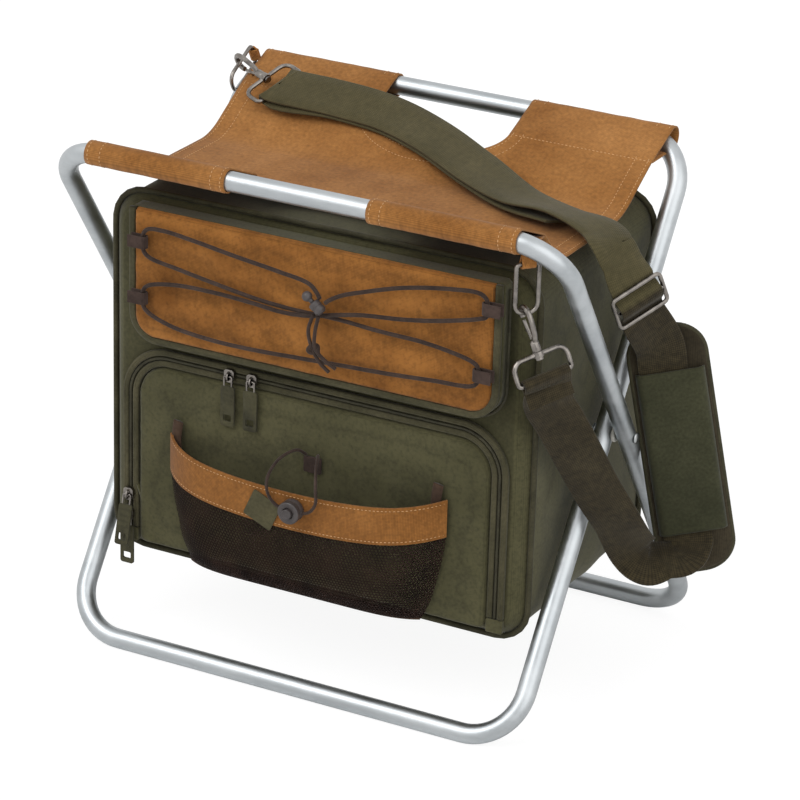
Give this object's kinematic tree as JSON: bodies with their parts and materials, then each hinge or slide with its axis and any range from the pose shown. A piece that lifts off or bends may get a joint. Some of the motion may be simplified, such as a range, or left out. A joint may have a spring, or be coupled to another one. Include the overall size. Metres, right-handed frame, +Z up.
{
  "type": "folding stool with cooler bag",
  "caption": "Folding camp stool: crossed bent-tube frames, a canvas seat in sleeves and a soft zipped cooler bag hung between the legs, with a padded shoulder strap.",
  "frame": {"origin": "on the floor, midway between the left and right legs and below the pivots of the crossed frames", "axes": "+X to the right along the seat rails seen from the bag's zipped front, +Y towards the back, +Z up"},
  "size_m": [0.5404, 0.3228, 0.4465],
  "materials": {
    "aluminium": "satin drawn tube",
    "nickel": "nickel-plated wire",
    "nylon": "moulded",
    "tan_canvas": "brushed canvas with lighter stitching",
    "tan_panel": "brushed canvas",
    "olive_cloth": "fine plain weave",
    "olive_trim": "ribbed binding",
    "webbing": "ribbed webbing",
    "cord": "braided cord",
    "net": "open mesh",
    "foil": "foil-faced foam",
    "dark_plastic": "moulded"
  },
  "bodies": {
    "outer_legs": {"outer_frame": "aluminium", "pivot_rivet_left": "aluminium", "pivot_rivet_right": "aluminium", "leg_washer_left": "nylon", "leg_washer_right": "nylon", "seat_canvas": "tan_canvas", "shoulder_strap": "webbing", "shoulder_pad": "webbing", "pad_sleeve": "olive_cloth", "strap_tab_front": "tan_canvas", "d_ring_front": "nickel", "strap_eye_front": "nickel"},
    "inner_legs": {"inner_frame": "aluminium", "strap_tab_back": "tan_canvas", "d_ring_back": "nickel", "strap_eye_back": "nickel"},
    "bag": {"bag_shell": "olive_cloth", "bag_liner": "foil", "front_piping": "olive_trim", "back_piping": "olive_trim", "zip_outer_welt": "olive_trim", "zip_end_left": "olive_cloth", "zip_end_right": "olive_cloth", "pocket_gusset": "olive_cloth", "pocket_zip": "olive_trim"},
    "lower_flap_body": {"lower_flap": "olive_cloth", "zip_inner_welt": "olive_trim", "zip_coil": "olive_trim", "net_band": "tan_canvas", "net_pocket": "net", "cord_anchor": "cord", "net_cord": "cord", "cord_toggle": "dark_plastic", "cloth_tag": "olive_trim"},
    "toggle_plunger_body": {"toggle_plunger": "dark_plastic"},
    "upper_flap_body": {"pocket_binding": "olive_trim", "pocket_panel": "tan_panel", "bungee_cord": "cord", "bungee_lock": "dark_plastic", "bungee_tail": "cord", "bungee_tab_upper_left": "cord", "bungee_tab_lower_left": "cord", "bungee_tab_upper_right": "cord", "bungee_tab_lower_right": "cord"},
    "bungee_plunger_body": {"bungee_plunger": "dark_plastic"},
    "hook_front": {"snap_hook_front": "nickel"},
    "gate_front": {"hook_gate_front": "nickel"},
    "hook_back": {"snap_hook_back": "nickel"},
    "gate_back": {"hook_gate_back": "nickel"},
    "slider_body": {"strap_slider": "nickel"},
    "slider_top_left": {"zip_slider_top_left": "nickel"},
    "pull_top_left": {"zip_pull_top_left": "olive_trim"},
    "slider_top_right": {"zip_slider_top_right": "nickel"},
    "pull_top_right": {"zip_pull_top_right": "olive_trim"},
    "slider_side_upper": {"zip_slider_side_upper": "nickel"},
    "pull_side_upper": {"zip_pull_side_upper": "olive_trim"},
    "slider_side_lower": {"zip_slider_side_lower": "nickel"},
    "pull_side_lower": {"zip_pull_side_lower": "olive_trim"}
  },
  "joints": [
    {"name": "fold", "type": "hinge", "parent": "outer_legs", "child": "inner_legs", "pos_m": [0, 0, 0.22488], "axis": [1, 0, 0], "range_deg": [0, 56], "deforming": ["seat_canvas", "shoulder_strap"]},
    {"name": "bag_follow", "type": "hinge", "parent": "outer_legs", "child": "bag", "pos_m": [0, 0, 0.22488], "axis": [1, 0, 0], "range_deg": [0, 28]},
    {"name": "upper_flap_hinge", "type": "hinge", "parent": "bag", "child": "upper_flap_body", "pos_m": [0, -0.1265, 0.3864], "axis": [-1, 0, 0], "range_deg": [0, 70]},
    {"name": "lower_flap_hinge", "type": "hinge", "parent": "bag", "child": "lower_flap_body", "pos_m": [0, -0.1135, 0.0835], "axis": [1, 0, 0], "range_deg": [0, 70]},
    {"name": "bungee_plunger_press", "type": "slide", "parent": "upper_flap_body", "child": "bungee_plunger_body", "axis": [0.7828, 0, -0.6222], "range_m": [0, 0.0025], "stiffness_N_per_m": 400},
    {"name": "toggle_plunger_press", "type": "slide", "parent": "lower_flap_body", "child": "toggle_plunger_body", "axis": [0, 1, 0], "range_m": [0, 0.0024], "stiffness_N_per_m": 400},
    {"name": "zip_slide_top_left", "type": "slide", "parent": "lower_flap_body", "child": "slider_top_left", "axis": [1, 0, 0], "range_m": [-0.055, 0]},
    {"name": "zip_pull_swing_top_left", "type": "hinge", "parent": "slider_top_left", "child": "pull_top_left", "pos_m": [-0.074, -0.12174, 0.254], "axis": [-1, 0, 0], "range_deg": [0, 60]},
    {"name": "zip_slide_top_right", "type": "slide", "parent": "lower_flap_body", "child": "slider_top_right", "axis": [1, 0, 0], "range_m": [0, 0.18]},
    {"name": "zip_pull_swing_top_right", "type": "hinge", "parent": "slider_top_right", "child": "pull_top_right", "pos_m": [-0.053, -0.12174, 0.254], "axis": [-1, 0, 0], "range_deg": [0, 60]},
    {"name": "zip_slide_side_upper", "type": "slide", "parent": "lower_flap_body", "child": "slider_side_upper", "axis": [0, 0, 1], "range_m": [0, 0.085]},
    {"name": "zip_pull_swing_side_upper", "type": "hinge", "parent": "slider_side_upper", "child": "pull_side_upper", "pos_m": [-0.1695, -0.12174, 0.127], "axis": [-1, 0, 0], "range_deg": [0, 45]},
    {"name": "zip_slide_side_lower", "type": "slide", "parent": "lower_flap_body", "child": "slider_side_lower", "axis": [0, 0, 1], "range_m": [-0.004, 0]},
    {"name": "zip_pull_swing_side_lower", "type": "hinge", "parent": "slider_side_lower", "child": "pull_side_lower", "pos_m": [-0.1695, -0.12174, 0.108], "axis": [-1, 0, 0], "range_deg": [0, 8]},
    {"name": "hook_swivel_front", "type": "hinge", "parent": "outer_legs", "child": "hook_front", "pos_m": [0.194, -0.1336, 0.36762], "axis": [0.3782, 0, -0.9257], "range_deg": [-25, 25]},
    {"name": "gate_open_front", "type": "hinge", "parent": "hook_front", "child": "gate_front", "pos_m": [0.19912, -0.13172, 0.34871], "axis": [0.5679, 0.7897, 0.232], "range_deg": [0, 18], "stiffness_Nm_per_rad": 0.05, "springref_deg": -11.46},
    {"name": "hook_swivel_back", "type": "hinge", "parent": "inner_legs", "child": "hook_back", "pos_m": [-0.195, 0.105, 0.4362], "axis": [0.9226, -0.341, -0.1805], "range_deg": [-25, 25]},
    {"name": "gate_open_back", "type": "hinge", "parent": "hook_back", "child": "gate_back", "pos_m": [-0.17709, 0.09974, 0.42995], "axis": [0.3857, 0.8267, 0.4097], "range_deg": [0, 18], "stiffness_Nm_per_rad": 0.05, "springref_deg": -11.46},
    {"name": "strap_slider_shift", "type": "slide", "parent": "outer_legs", "child": "slider_body", "axis": [-0.2052, -0.3284, 0.922], "range_m": [-0.004, 0.01], "deforming": ["shoulder_strap"]}
  ],
  "couplings": [
    {"joint": "bag_follow", "follows": "fold", "ratio": 0.5}
  ]
}
